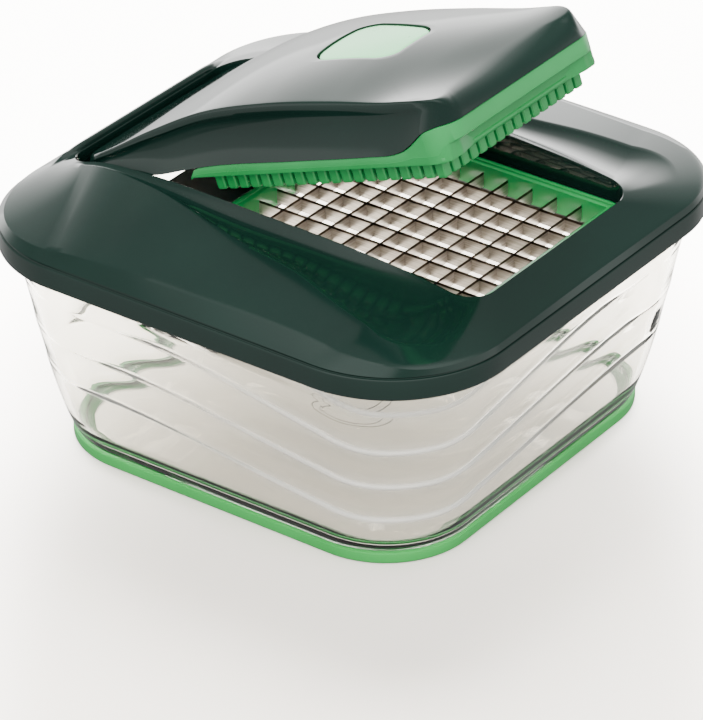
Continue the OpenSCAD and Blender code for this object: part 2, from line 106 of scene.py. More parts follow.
# The level direction away from the camera, and how far a direction has to agree with it for either side's tent
AWAY, NEAR_SIDE, FAR_SIDE = (0.805, 0.593, 0), 0.35, 0.85
world = bpy.data.worlds.new("light tent")
world.use_nodes = True
bpy.context.scene.world = world
sky = world.node_tree
direction = add_node(sky, "ShaderNodeTexCoord")
height = add_node(sky, "ShaderNodeSeparateXYZ", {0: direction.outputs["Generated"]})
share = add_node(sky, "ShaderNodeMapRange", {0: height.outputs["Z"], 1: -1.0, 2: 1.0, 3: 0.0, 4: 1.0})
behind, before = [
    set_ramp(add_node(sky, "ShaderNodeValToRGB", {0: share.outputs[0]}),
             [(p, (v / TENT_PEAK, v / TENT_PEAK, v / TENT_PEAK * TENT_BLUE, 1)) for p, v in stops])
    for stops in (TENT_BEHIND, TENT_BEFORE)]
away = add_node(sky, "ShaderNodeVectorMath", {0: direction.outputs["Generated"], 1: AWAY},
                operation="DOT_PRODUCT")
side = add_node(sky, "ShaderNodeMapRange",
                {0: away.outputs["Value"], 1: NEAR_SIDE, 2: FAR_SIDE, 3: 0.0, 4: 1.0},
                interpolation_type="SMOOTHSTEP")
tent = add_node(sky, "ShaderNodeMix", {0: side.outputs[0], 6: before.outputs[0], 7: behind.outputs[0]},
                data_type="RGBA")
sky.links.new(tent.outputs[2], sky.nodes["Background"].inputs[0])
sky.nodes["Background"].inputs[1].default_value = TENT_PEAK

# The floor glows white apart from a long oval patch of painted shadow under the object and in front of it, in
# metres
FLOOR_REACH, FLOOR_DROP = 6.0, 0.0003
SHADOW_PATCH_AT, SHADOW_PATCH_SIZE, SHADOW_PATCH_TURN = (-0.14, -0.105, 0), (0.40, 0.205, 1), math.radians(36.35)
SHADOW_PATCH_EDGE, GLOW = (0.55, 1.15), (0.45, 9.0)
floor_mesh = bpy.data.meshes.new("studio_floor")
floor_mesh.from_pydata([(x * FLOOR_REACH, y * FLOOR_REACH, -FLOOR_DROP)
                        for x, y in ((-1, -1), (1, -1), (1, 1), (-1, 1))], [], [(0, 1, 2, 3)])
floor = bpy.data.objects.new("studio_floor", floor_mesh)
bpy.context.scene.collection.objects.link(floor)
floor.visible_glossy = False
floor.visible_diffuse = False
floor_paint = bpy.data.materials.new("matt white floor paint")
floor_paint.use_nodes = True
tree = floor_paint.node_tree
shader = tree.nodes["Principled BSDF"]
place = add_node(tree, "ShaderNodeTexCoord")
speckle = add_node(tree, "ShaderNodeTexNoise", {"Vector": place.outputs["Object"], "Scale": 3.0, "Detail": 2.0})
shade = set_ramp(add_node(tree, "ShaderNodeValToRGB", {0: speckle.outputs[0]}),
                 [(0.3, linear("#ece3d5")), (0.7, linear("#f0e8dc"))])
tree.links.new(shade.outputs[0], shader.inputs["Base Color"])
shader.inputs["Roughness"].default_value = 0.55
shader.inputs["Emission Color"].default_value = linear("#fffdfa")
# Painted shadow: inside the oval the floor's glow falls from 9 to 0.45
oval = add_node(tree, "ShaderNodeMapping", {"Vector": place.outputs["Object"], "Location": SHADOW_PATCH_AT,
                                            "Rotation": (0, 0, SHADOW_PATCH_TURN), "Scale": SHADOW_PATCH_SIZE},
                vector_type="TEXTURE")
distance = add_node(tree, "ShaderNodeVectorMath", {0: oval.outputs[0]}, operation="LENGTH")
glow = add_node(tree, "ShaderNodeMapRange", {0: distance.outputs["Value"], 1: SHADOW_PATCH_EDGE[0], 2: SHADOW_PATCH_EDGE[1],
                                             3: GLOW[0], 4: GLOW[1]}, interpolation_type="SMOOTHSTEP")
tree.links.new(glow.outputs[0], shader.inputs["Emission Strength"])
floor_mesh.materials.append(floor_paint)


def sun(name, azimuth, elevation, strength, spread):
    """A sun lamp that shines from that azimuth and elevation, spread over a disc of that many degrees."""
    lamp = bpy.data.objects.new(name, bpy.data.lights.new(name, "SUN"))
    lamp.data.energy, lamp.data.angle = strength, math.radians(spread)
    lamp.rotation_mode = "QUATERNION"
    lamp.rotation_quaternion = turned(azimuth, elevation).to_track_quat("Z", "Y")
    bpy.context.scene.collection.objects.link(lamp)
    return lamp


# Three broad lamps that gloss doesn't mirror, and one that lights only the floor
for lamp in (sun("back_lamp", 140, 50, 4.6, 35), sun("front_lamp", -75, 42, 4.3, 50),
             sun("side_lamp", -10, 35, 2.0, 60)):
    lamp.visible_glossy = False
floor_lamp = sun("floor_lamp", 126, 44, 9.0, 45)
lit = bpy.data.collections.new("lit_by_floor_lamp")
lit.objects.link(floor)
floor_lamp.light_linking.receiver_collection = lit

# ---- foot ring ----
# A band of soft green elastomer round the container's foot, moulded in one piece and stretched on. It keeps
# the container from sliding, so its face is satin and faintly grained.
RING_HW, RING_R = 94.5, 39.0
# Inset from the outer face and height of each point of the band's section
RING_SECTION = [(1.2, 0.0), (0.5, 0.2), (0.1, 0.7), (0.0, 1.3), (0.0, 4.0), (0.15, 4.6), (0.6, 4.95),
                (1.2, 5.0), (3.0, 5.0), (3.0, 1.0), (8.6, 1.0), (8.6, 0.0)]


def rounded(hx, y0, y1, r, corner_steps=24, side_steps=40):
    """Points round a rectangle with round corners, anticlockwise from the back right one. Each corner is a
    quarter circle of radius r about a point r in from both sides; each side runs straight to the next."""
    arc = np.linspace(0, math.pi / 2, corner_steps + 1)
    centres = [(hx - r, y1 - r), (r - hx, y1 - r), (r - hx, y0 + r), (hx - r, y0 + r)]
    arcs = [np.stack([x + r * np.cos(arc + k * math.pi / 2), y + r * np.sin(arc + k * math.pi / 2)], -1)
            for k, (x, y) in enumerate(centres)]
    step = np.linspace(0, 1, side_steps + 1)[1:-1, None]
    sides = [a[-1] + (b[0] - a[-1]) * step for a, b in zip(arcs, arcs[1:] + arcs[:1])]
    return np.concatenate([part for pair in zip(arcs, sides) for part in pair])


def turn_share(corner_steps=24, side_steps=40):
    """How far round a rounded loop each point is, from 0 to 4: a half for each corner and for each side."""
    corner = np.linspace(0, 0.5, corner_steps + 1)
    side = 0.5 + np.linspace(0, 0.5, side_steps + 1)[1:-1]
    return np.concatenate([k + part for k in range(4) for part in (corner, side)])


def at_height(loop, z):
    """The loop's points with z, a number or one for each point, as their height."""
    return np.column_stack([loop, np.broadcast_to(z, len(loop))])


def finish_piece(name, mesh, body, material, crease=38.0):
    """Makes the object, smooths it apart from edges sharper than crease degrees, and rides it on its body."""
    mesh.validate()
    mesh.shade_smooth()
    mesh.set_sharp_from_angle(angle=math.radians(crease))
    mesh.materials.append(material)
    made = bpy.data.objects.new(name, mesh)
    bpy.context.scene.collection.objects.link(made)
    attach(made, body)
    return made


def skin(name, rows, body, material, ring=False, crease=38.0):
    """A skin over a stack of loops, an array (rows, points, 3) in mm. Two neighbours on a loop and the same
    two on the next make a face. A ring's last loop joins its first; otherwise a flat face closes each end."""
    rows = np.asarray(rows, float)
    m, n = rows.shape[:2]
    j, i = np.meshgrid(np.arange(m if ring else m - 1), np.arange(n), indexing="ij")
    low, high, after = j * n, (j + 1) % m * n, (i + 1) % n
    faces = np.stack([low + i, low + after, high + after, high + i], -1).reshape(-1, 4).tolist()
    if not ring:
        faces += [list(range(n))[::-1], list(range((m - 1) * n, m * n))]
    mesh = bpy.data.meshes.new(name)
    mesh.from_pydata((rows.reshape(-1, 3) / 1000).tolist(), [], faces)
    return finish_piece(name, mesh, body, material, crease)


def moulded(name, low, high, roughness, cloud_mm, grain_mm, grain_depth_mm, ior=1.5, coat=0.0):
    """A moulded plastic or rubber: colour drifts between two close tones in clouds of that size, as pigment
    does in a melt, roughness drifts a little with it, and a fine grain is pressed in from the mould."""
    made = bpy.data.materials.new(name)
    made.use_nodes = True
    tree = made.node_tree
    shader = tree.nodes["Principled BSDF"]
    place = add_node(tree, "ShaderNodeTexCoord")
    cloud = add_node(tree, "ShaderNodeTexNoise",
                     {"Vector": place.outputs["Object"], "Scale": 1000 / cloud_mm, "Detail": 3.0})
    tone = set_ramp(add_node(tree, "ShaderNodeValToRGB", {0: cloud.outputs[0]}),
                    [(0.3, linear(low)), (0.7, linear(high))])
    gloss = add_node(tree, "ShaderNodeMapRange",
                     {0: cloud.outputs[0], 1: 0.2, 2: 0.8, 3: roughness * 0.85, 4: roughness * 1.15})
    grain = add_node(tree, "ShaderNodeTexNoise",
                     {"Vector": place.outputs["Object"], "Scale": 1000 / grain_mm, "Detail": 2.0})
    relief = add_node(tree, "ShaderNodeBump", {"Height": grain.outputs[0], "Strength": 1.0,
                                               "Distance": grain_depth_mm / 1000})
    tree.links.new(tone.outputs[0], shader.inputs["Base Color"])
    tree.links.new(gloss.outputs[0], shader.inputs["Roughness"])
    tree.links.new(relief.outputs[0], shader.inputs["Normal"])
    shader.inputs["IOR"].default_value = ior
    shader.inputs["Coat Weight"].default_value = coat
    shader.inputs["Coat Roughness"].default_value = 0.05
    return made


# Thermoplastic elastomer: soft satin, lit evenly, with the fine matt texture of a spark-eroded mould
elastomer = moulded("green elastomer, moulded satin", "#2a9440", "#329f48", 0.42, 30, 0.5, 0.004)
foot_ring = skin("foot_ring", [at_height(rounded(RING_HW - inset, -RING_HW + inset, RING_HW - inset,
                                                  max(RING_R - inset, 6)), z) for inset, z in RING_SECTION],
                 "container", elastomer, ring=True)
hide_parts("base_ring")

# ---- container ----
# Injection-moulded clear styrene copolymer, polished outside. Curved ridges run round the wall between
# shallow flutes; each dips at one corner, climbs both sides and ends in a sharp curl before the next corner.
FOOT_HW, FOOT_R = 91.2, 36.5
WALL_Z0, RIM_Z, FLOOR_Z, GLASS_T = 5.2, 99.0, 7.5, 2.8
# Each ridge: its height at the low corner, its height at its tip, and how far round towards the high corner
# the tip is
RIDGES = [(24.0, 38.0, 0.76), (42.0, 56.5, 0.69), (60.0, 77.0, 0.60), (80.0, 98.0, 0.50)]
FLUTE_DEPTH = 2.1
# The inside follows the flutes by this share, up to where the cover's frame hangs in
INSIDE_SHARE, FRAME_LOW, FRAME_HIGH = 0.7, 80, 89


def through(x, table):
    """A smooth curve through the table's points: between two points a cubic, whose slope at each of them is
    the mean of the slopes on both sides."""
    px, py = np.array(table, float).T
    slope = np.gradient(py, px)
    x = np.clip(x, px[0], px[-1])
    i = np.clip(np.searchsorted(px, x) - 1, 0, len(px) - 2)
    h = px[i + 1] - px[i]
    t = (x - px[i]) / h
    return ((2 * t**3 - 3 * t**2 + 1) * py[i] + (t**3 - 2 * t**2 + t) * h * slope[i]
            + (3 * t**2 - 2 * t**3) * py[i + 1] + (t**3 - t**2) * h * slope[i + 1])


def ease(x, start, end):
    """0 before start, 1 after end, and a smooth step between them."""
    t = np.clip((x - start) / (end - start), 0, 1)
    return t * t * (3 - 2 * t)


def wall_size(z):
    """Half-width and corner radius of the wall's outside: it bulges out quickly at first, then more slowly."""
    up = max(z - WALL_Z0, 0) / (RIM_Z - WALL_Z0)
    return 93.2 + 19.4 * up**0.75, 38.5 + 10.5 * up


wall_turn = turn_share()
# 0 at the front left and back right corners, where the ridges dip, and 1 at the other two
wall_climb = np.abs((wall_turn - 2.25 + 1) % 2 - 1)


# A ridge climbs from its low to its high height and its flute dies out past the curl
ridge_z = np.array([low + (high - low) * ease(wall_climb, 0.08, tip) + 2 * ease(wall_climb, tip, 1.0)
                    for low, high, tip in RIDGES])
ridge_tip = np.array([tip for low, high, tip in RIDGES])[:, None]
ridge_fade = 1 - 0.9 * ease(wall_climb, ridge_tip - 0.03, ridge_tip + 0.05)


def flute(z):
    """Depth of the flutes at height z all round: between two ridges it follows half a sine of the share of
    the way up raised to 0.8, so each ridge is a crest."""
    fade = ridge_fade * (0.75 + 0.6 * ease(wall_climb, ridge_tip - 0.25, ridge_tip))
    depth = np.zeros(len(wall_climb))
    for k in range(len(RIDGES) - 1):
        share = (z - ridge_z[k]) / (ridge_z[k + 1] - ridge_z[k])
        inside = (share > 0) & (share < 1)
        bow = np.sin(math.pi * np.clip(share, 0, 1) ** 0.8)
        depth += np.where(inside, FLUTE_DEPTH * fade[k] * bow, 0)
    return depth


def crest(z):
    """How near height z is to a ridge, all round: a narrow bell about each and a low wide one, both gone
    where the ridge has died out and weaker away from the low corners. It sets where the crests are painted
    white as a highlight."""
    near = 0.75 * np.exp(-((z - ridge_z) / 1.2) ** 2) + 0.25 * np.exp(-((z - ridge_z) / 4.5) ** 2)
    return (near * ridge_fade * (1 - 0.75 * ease(wall_climb, 0.2, 0.6))).max(0)


def wall_loop(z, inset):
    """The wall's loop at height z, drawn in along its outward direction by inset, a number or one a point."""
    hw, r = wall_size(z)
    outer, inner = rounded(hw, -hw, hw, r), rounded(hw - 1, 1 - hw, hw - 1, r - 1)
    return at_height(outer + (inner - outer) * np.reshape(inset, (-1, 1)), z)


wall_z = np.linspace(WALL_Z0 + 1.2, RIM_Z - 0.4, 170)
outside = [wall_loop(z, flute(z)) for z in wall_z]
inside = [wall_loop(z, GLASS_T + INSIDE_SHARE * flute(z) * (1 - ease(z, FRAME_LOW, FRAME_HIGH)))
          for z in np.linspace(RIM_Z - 0.4, 16.5, 130)]
foot_loop = rounded(FOOT_HW, -FOOT_HW, FOOT_HW, FOOT_R)
floor_edge = [(3.1, 14.0), (3.8, 11.8), (5.2, 9.8), (7.2, 8.4), (10.0, 7.6), (13.0, FLOOR_Z)]
# Two fine rings round the middle of the floor, where the mould's gate was
gate_mark = [(15.6, FLOOR_Z), (15.3, 7.8), (14.9, 7.8), (14.6, FLOOR_Z), (11.6, FLOOR_Z), (11.3, 7.75),
             (10.9, 7.75), (10.6, FLOOR_Z)]
floor_hw, floor_r = wall_size(14.0)
foot_rows = [at_height(foot_loop, 1.0), at_height(foot_loop, WALL_Z0 - 0.05), wall_loop(WALL_Z0, 0.5),
             wall_loop(WALL_Z0 + 0.4, 0.05)]
container_rows = (foot_rows + outside
                  + [wall_loop(RIM_Z, 0.5), wall_loop(RIM_Z, GLASS_T - 0.5)] + inside
                  + [at_height(rounded(floor_hw - d, d - floor_hw, floor_hw - d, floor_r - d), z)
                     for d, z in floor_edge]
                  + [at_height(rounded(r, -r, r, 0.97 * r), z) for r, z in gate_mark])
# Clear SAN: glass-bright faces, no grain, only the faintest swell left by the mould's flow; the crests of the
# ridges are painted white as a highlight, where the plastic turns from clear to its pale base colour
clear_plastic = bpy.data.materials.new("clear SAN, polished mould")
clear_plastic.use_nodes = True
tree = clear_plastic.node_tree
shader = tree.nodes["Principled BSDF"]
place = add_node(tree, "ShaderNodeTexCoord")
swell = add_node(tree, "ShaderNodeTexNoise",
                 {"Vector": place.outputs["Object"], "Scale": 1000 / 22, "Detail": 1.0})
relief = add_node(tree, "ShaderNodeBump", {"Height": swell.outputs[0], "Strength": 1.0, "Distance": 0.00012})
tree.links.new(relief.outputs[0], shader.inputs["Normal"])
shader.inputs["Base Color"].default_value = linear("#e8e6df")
# Painted highlight: near the crests the transmission falls from 1 to 0.15, so the pale base colour shows white
crest_highlight = add_node(tree, "ShaderNodeAttribute", attribute_name="crest")
clear = add_node(tree, "ShaderNodeMapRange", {0: crest_highlight.outputs["Fac"], 1: 0.0, 2: 1.0, 3: 1.0, 4: 0.15})
tree.links.new(clear.outputs[0], shader.inputs["Transmission Weight"])
shader.inputs["Roughness"].default_value = 0.02
shader.inputs["IOR"].default_value = 1.5
container = skin("container_clear", container_rows, "container", clear_plastic)
painted_crest_highlight = np.zeros((len(container_rows), len(wall_climb)))
painted_crest_highlight[len(foot_rows):len(foot_rows) + len(wall_z)] = [crest(z) for z in wall_z]
container.data.attributes.new("crest", "FLOAT", "POINT").data.foreach_set("value", painted_crest_highlight.ravel())
container.visible_shadow = False
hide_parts("container")

# ---- cover ----
# Injection-moulded ABS in dark green, polished to a mirror. A skirt fits over the container's rim; above it
# a bevel and a broad plate climb to the mouth, and an S-shaped crease on each side bounds a hollow beside it.
COVER_HW, COVER_R, SKIRT_Z0, SKIRT_Z1 = 118.0, 53.0, 91.7, 101.0
MOUTH_HW, MOUTH_Y0, MOUTH_Y1, MOUTH_R, MOUTH_WALL = 55.6, -98.0, 105.5, 12.0, 2.6
SEAT_TOP, LAND_HW = 103.0, 109.4
# Height of the mouth's edge above the rim, by share of the way from front to back
MOUTH_EDGE = [(0, 11.6), (0.13, 15), (0.3, 17.2), (0.5, 17.9), (0.78, 17.8), (0.9, 15.6), (1, 9.2)]
# By distance from the back's middle, 0 to 2 at the front's middle: share of the way in from skirt to mouth
# at the bevel's top and at the crease, and how deep the hollow inside the crease is
BEVEL_END = [(0, 0.30), (0.25, 0.22), (0.5, 0.09), (0.75, 0.10), (1.0, 0.15), (1.2, 0.17), (1.35, 0.13),
             (1.5, 0.05), (1.7, 0.06), (2, 0.08)]
CREASE_AT = [(0, 0.55), (0.3, 0.6), (0.6, 0.95), (0.75, 0.96), (0.86, 0.89), (0.94, 0.785), (1.015, 0.705),
             (1.09, 0.655), (1.18, 0.52), (1.28, 0.43), (1.42, 0.36), (1.6, 0.4), (2, 0.45)]
HOLLOW = [(0, 0), (0.6, 0), (0.75, 0.5), (0.9, 1.6), (1.1, 2.2), (1.25, 2.2), (1.4, 1.2), (1.55, 0), (2, 0)]

cover_turn = turn_share()
from_back = np.abs((cover_turn - 0.75 + 2) % 4 - 2)
bevel_end = through(from_back, BEVEL_END)
crease_at = np.maximum(through(from_back, CREASE_AT), bevel_end + 0.1)
hollow = np.maximum(through(from_back, HOLLOW), 0)
outer_loop = rounded(COVER_HW, -COVER_HW, COVER_HW, COVER_R)


def mouth(out):
    """The mouth's loop, grown outwards."""
    return rounded(MOUTH_HW + out, MOUTH_Y0 - out, MOUTH_Y1 + out, MOUTH_R + out)


mouth_edge_z = RIM_Z + through((mouth(0)[:, 1] - MOUTH_Y0) / (MOUTH_Y1 - MOUTH_Y0), MOUTH_EDGE)
rise = mouth_edge_z - SKIRT_Z1


def crown(f):
    """Share of the rise reached at share f of the way in: a quick start that dies away as an exponential, on
    a straight slope."""
    return 0.318 * (1 - np.exp(-f / 0.022)) + 0.682 * f


def cover_row(f, drop=0.0):
    """One loop of the cover's top: share f of the way from the skirt to the mouth, drop below the crown."""
    flat = outer_loop + (mouth(0.5) - outer_loop) * f[:, None]
    rail_turn = 1 - ease(from_back, 0.2, 0.34)
    rail = 2.9 * rail_turn * np.sqrt(np.clip(1 - ((f - 0.78) / 0.21) ** 2, 0, 1))
    return at_height(flat, SKIRT_Z1 + rise * crown(f) - drop + rail)


steps = np.linspace(0, 1, 19)
start = np.full(len(from_back), 0.016)
bevel_rows = []
for t in np.linspace(0, 1, 9):
    f = start + (bevel_end - start) * t
    top = crown(bevel_end)
    straight = 0.09 + (top - 0.09) * t
    bevel_rows.append(cover_row(f, rise * (crown(f) - straight)))
plate_rows = [cover_row(bevel_end + (crease_at - bevel_end) * t) for t in steps[1:]]
hollow_rows = [cover_row(crease_at + (1 - crease_at) * t, 4 * hollow * t * (1 - t)) for t in steps[1:]]
skirt_rows = [at_height(rounded(COVER_HW - d, d - COVER_HW, COVER_HW - d, COVER_R - d), z)
              for d, z in [(1.0, SKIRT_Z0), (0.3, SKIRT_Z0 + 0.25), (0, 92.6), (0, 100.0), (0.15, 100.6),
                           (0.7, 100.95), (1.0, 101.0), (1.15, 101.3)]]
back_loop, land_loop = mouth(MOUTH_WALL), rounded(LAND_HW, -LAND_HW, LAND_HW, COVER_R - 8)
skirt_in = rounded(COVER_HW - 2.5, 2.5 - COVER_HW, COVER_HW - 2.5, COVER_R - 2.5)
under_z = mouth_edge_z - 2.7
cover_rows = (skirt_rows + bevel_rows + plate_rows + hollow_rows
              + [at_height(mouth(0.15), mouth_edge_z - 0.15), at_height(mouth(0), mouth_edge_z - 0.6),
                 at_height(mouth(0), (mouth_edge_z + SEAT_TOP) / 2), at_height(mouth(0), SEAT_TOP),
                 at_height(back_loop, SEAT_TOP), at_height(back_loop, under_z),
                 at_height((land_loop + back_loop) / 2, (RIM_Z + 5 + under_z) / 2),
                 at_height(land_loop, RIM_Z + 4.4), at_height(land_loop, RIM_Z), at_height(skirt_in, RIM_Z),
                 at_height(skirt_in, SKIRT_Z0)])
# ABS: deep colour under a hard clear gloss, with the fine wander of a hand-polished mould
dark_abs = moulded("dark green ABS, high gloss", "#0a1d18", "#0c221c", 0.09, 60, 4.0, 0.0003, ior=1.52)
cover = skin("cover_shell_gloss", cover_rows, "cover", dark_abs, ring=True, crease=24)
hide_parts("cover_shell")

# ---- seat frame and hinge pins ----
# The frame is welded under the cover and carries the blade insert; the lever turns on two stainless pins
# pressed through it. The frame is the same green, satin where it was left unpolished.
satin_abs = moulded("dark green ABS, satin", "#081712", "#0b1c17", 0.35, 40, 0.6, 0.004)


def give(node_name, material):
    """Gives a CAD node that material instead of its own."""
    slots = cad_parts[node_name].data.materials
    slots.clear()
    slots.append(material)


def ground_steel(name, tone_low, tone_high, roughness, scratch_mm, stretch, edge_z=None):
    """Stainless steel with fine parallel grinding marks: noise stretched along one axis drives tone,
    roughness and relief. Above edge_z, in mm, the bevel of an edge is painted darker, a painted shade."""
    made = bpy.data.materials.new(name)
    made.use_nodes = True
    tree = made.node_tree
    shader = tree.nodes["Principled BSDF"]
    place = add_node(tree, "ShaderNodeTexCoord")
    drawn = add_node(tree, "ShaderNodeMapping", {"Vector": place.outputs["Object"], "Scale": stretch})
    marks = add_node(tree, "ShaderNodeTexNoise",
                     {"Vector": drawn.outputs[0], "Scale": 1000 / scratch_mm, "Detail": 3.0})
    tone = set_ramp(add_node(tree, "ShaderNodeValToRGB", {0: marks.outputs[0]}),
                    [(0.35, linear(tone_low)), (0.65, linear(tone_high))])
    colour = tone.outputs[0]
    if edge_z:
        height = add_node(tree, "ShaderNodeSeparateXYZ", {0: place.outputs["Object"]})
        bevel = add_node(tree, "ShaderNodeMapRange", {0: height.outputs["Z"], 1: (edge_z - 0.15) / 1000,
                                                      2: (edge_z + 0.1) / 1000, 3: 0.0, 4: 1.0})
        # Painted shade: above edge_z the steel's colour goes to a dark brown-grey
        bevel_shade = add_node(tree, "ShaderNodeMix", {0: bevel.outputs[0], 6: colour, 7: linear("#463c35")},
                        data_type="RGBA")
        colour = bevel_shade.outputs[2]
    gloss = add_node(tree, "ShaderNodeMapRange",
                     {0: marks.outputs[0], 1: 0.2, 2: 0.8, 3: roughness * 0.8, 4: roughness * 1.2})
    relief = add_node(tree, "ShaderNodeBump",
                      {"Height": marks.outputs[0], "Strength": 1.0, "Distance": 0.00001})
    tree.links.new(colour, shader.inputs["Base Color"])
    tree.links.new(gloss.outputs[0], shader.inputs["Roughness"])
    tree.links.new(relief.outputs[0], shader.inputs["Normal"])
    shader.inputs["Metallic"].default_value = 1.0
    return made


pin_steel = ground_steel("stainless pin, centreless ground", "#b4b6b8", "#c4c6c8", 0.22, 0.6, (0.1, 1, 1))
give("seat_frame", satin_abs)
give("hinge_pin_left", pin_steel)
give("hinge_pin_right", pin_steel)

# ---- blade insert frames ----
# Two rings of mid green ABS clamp the blades' tongues between them. The upper ring has a low ledge round
# its top, and drops into the cover's seat.
INSERT_HW, INSERT_Y0, INSERT_Y1, GRID_HW = 52.0, -94.0, 34.0, 48.0
PART_Z, INSERT_Z0, INSERT_TOP = 97.2, 92.9, 104.5
UPPER_SECTION = [(0.0, PART_Z), (0.0, 104.1), (0.25, 104.4), (0.6, INSERT_TOP), (1.9, INSERT_TOP),
                 (2.15, 104.35), (2.2, 103.9), (2.35, 103.7), (3.6, 103.6), (3.9, 103.4), (4.0, 103.0),
                 (4.0, PART_Z)]
LOWER_SECTION = [(0.5, INSERT_Z0), (0.15, 93.05), (0.0, 93.4), (0.0, PART_Z), (4.0, PART_Z), (4.0, 93.4),
                 (3.85, 93.05), (3.5, INSERT_Z0)]
mid_abs = moulded("mid green ABS, semi-gloss", "#167a3a", "#1d8443", 0.2, 35, 0.8, 0.003)
for name, section, node_name in (("insert_upper_ring", UPPER_SECTION, "blade_frame_upper"),
                                 ("insert_lower_ring", LOWER_SECTION, "blade_frame_lower")):
    rows = [at_height(rounded(INSERT_HW - d, INSERT_Y0 + d, INSERT_Y1 - d, max(3 - d, 0.5), 8, 8), z)
            for d, z in section]
    ring = skin(name, rows, "cover", mid_abs, ring=True)
    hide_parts(node_name)

# ---- blades ----
# Nine cross blades and seven long ones, slit from stainless strip, half-slotted into each other and bevelled
# along the top. The grinding marks run lengthwise; the bevels are painted darker, as painted shade.
STEEL_TONES, STEEL_ROUGHNESS, SCRATCH_MM, BEVEL_Z = ("#8c8680", "#aaa49d"), 0.36, 0.5, 99.5
cross_steel, long_steel = [
    ground_steel(f"stainless strip, ground along {axis}", *STEEL_TONES, STEEL_ROUGHNESS, SCRATCH_MM, stretch,
                 BEVEL_Z)
    for axis, stretch in (("X", (0.04, 1, 1)), ("Y", (1, 0.04, 1)))]
for node_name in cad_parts:
    if node_name.startswith("cross_blade"):
        give(node_name, cross_steel)
    elif node_name.startswith("long_blade"):
        give(node_name, long_steel)

# ---- lever ----
# The shell is glossy dark green ABS like the cover: a crowned top meets concave sides at a rolled crease,
# the front rolls down over the grip, and the rear end turns about the hinge inside the cover's rail.
HINGE_Y, HINGE_Z, OPEN = 79.6, 96.2, math.radians(20.1)
LEVER_HW, LEVER_Y0, LEVER_Y1, CREASE_HW = 53.4, -99.8, 104.8, 50.0
CREASE_Z = [(0, 30.5), (0.05, 31.6), (0.15, 31.9), (0.27, 33.5), (0.44, 34.6), (0.6, 32.9), (0.75, 26.4),
            (0.88, 19.2), (0.96, 15.8), (1, 15)]
LOW_Z = [(0, 20.7), (0.03, 20.8), (0.055, 19.6), (0.08, 16.4), (0.108, 13.2), (0.14, 11.6), (0.2, 11.3),
         (0.4, 11.3), (0.62, 11.0), (0.665, 10.2), (0.75, 8.6), (0.82, 9.4), (0.95, 7.6), (1, 1.2)]
CROWN = [(0, -5.0), (0.06, -2.6), (0.15, 2.6), (0.28, 6.2), (0.41, 7.0), (0.6, 6.0), (0.75, 3.4),
         (0.9, 0.8), (1, 0.4)]
BUTTON_Y0, BUTTON_Y1 = -51.2, -13.8
SHELL_T, PANEL_DEPTH, BEAD_HEIGHT = 2.5, 2.2, 0.9


def opened(points):
    """Lever points drawn closed, turned up about the hinge by the angle at which the lever stands open."""
    points = np.asarray(points, float)
    y, z = points[..., 1] - HINGE_Y, points[..., 2] - HINGE_Z
    return np.stack([points[..., 0], HINGE_Y + y * math.cos(OPEN) + z * math.sin(OPEN),
                     HINGE_Z - y * math.sin(OPEN) + z * math.cos(OPEN)], -1)


def along(y):
    """Share of the lever's length, from its front to its back."""
    return (y - LEVER_Y0) / (LEVER_Y1 - LEVER_Y0)


def top_z(flat):
    """Height of the crowned top at points (x, y): the crease's height there plus a parabola across."""
    share = along(flat[:, 1])
    across = np.maximum(0, 1 - (flat[:, 0] / CREASE_HW) ** 2)
    return RIM_Z + through(share, CREASE_Z) + through(share, CROWN) * across


def button_loop(grow):
    """The button's outline, wider at its back edge, which bows out, than at its front."""
    loop = rounded(18.0, BUTTON_Y0, BUTTON_Y1, 8.0)
    middle = (BUTTON_Y0 + BUTTON_Y1) / 2
    depth = (loop[:, 1] - middle) / (BUTTON_Y1 - middle)
    loop = np.column_stack([loop[:, 0] * (1 + 0.11 * depth),
                            loop[:, 1] + 1.2 * np.maximum(depth, 0) * (1 - (loop[:, 0] / 18) ** 2)])
    centre = np.array([0, middle])
    return centre + (loop - centre) * (1 + grow / 18)


low_loop = rounded(LEVER_HW, LEVER_Y0, LEVER_Y1, 14)
crease_loop = rounded(CREASE_HW, LEVER_Y0 + 2, LEVER_Y1 - 8, 13)
low_edge = at_height(low_loop, RIM_Z + through(along(low_loop[:, 1]), LOW_Z))
crease_edge = at_height(crease_loop, top_z(crease_loop))
hole = button_loop(0.25)
lever_from_back = np.abs((turn_share() - 0.75 + 2) % 4 - 2)


def top_row(f, drop=0.0):
    """One loop of the lever's top, share f of the way from the crease to the button's hole."""
    flat = crease_loop + (hole - crease_loop) * np.reshape(f, (-1, 1))
    return at_height(flat, top_z(flat) - drop)


side = np.linalg.norm(crease_edge - low_edge, axis=1)
inward = np.linalg.norm(hole - crease_loop, axis=1)
roll_size = 0.9 + 8.5 * ease(lever_from_back, 1.45, 1.8) + 2.5 * (1 - ease(lever_from_back, 0.2, 0.5))
down_share = np.minimum(roll_size / side, 0.8)[:, None]
in_share = np.minimum(roll_size * 1.1 / inward, 0.4)
panel_top = crease_edge + (low_edge - crease_edge) * down_share
roll_end = top_row(in_share)
on_side = ease(lever_from_back, 0.45, 0.85) * (1 - ease(lever_from_back, 0.95, 1.5))
lever_rows = []
for t in np.linspace(0, 1, 17):
    row = low_edge + (panel_top - low_edge) * t
    pull = PANEL_DEPTH * np.sin(math.pi * t) * on_side
    bead = BEAD_HEIGHT * np.exp(-((1 - t) * side / 1.4 - 1.6) ** 2) * on_side
    row[:, 0] -= np.sign(row[:, 0]) * (pull - bead)
    lever_rows.append(row)
for t in np.linspace(0, 1, 11)[1:]:
    lever_rows.append(panel_top * (1 - t) ** 2 + 2 * crease_edge * t * (1 - t) + roll_end * t**2)
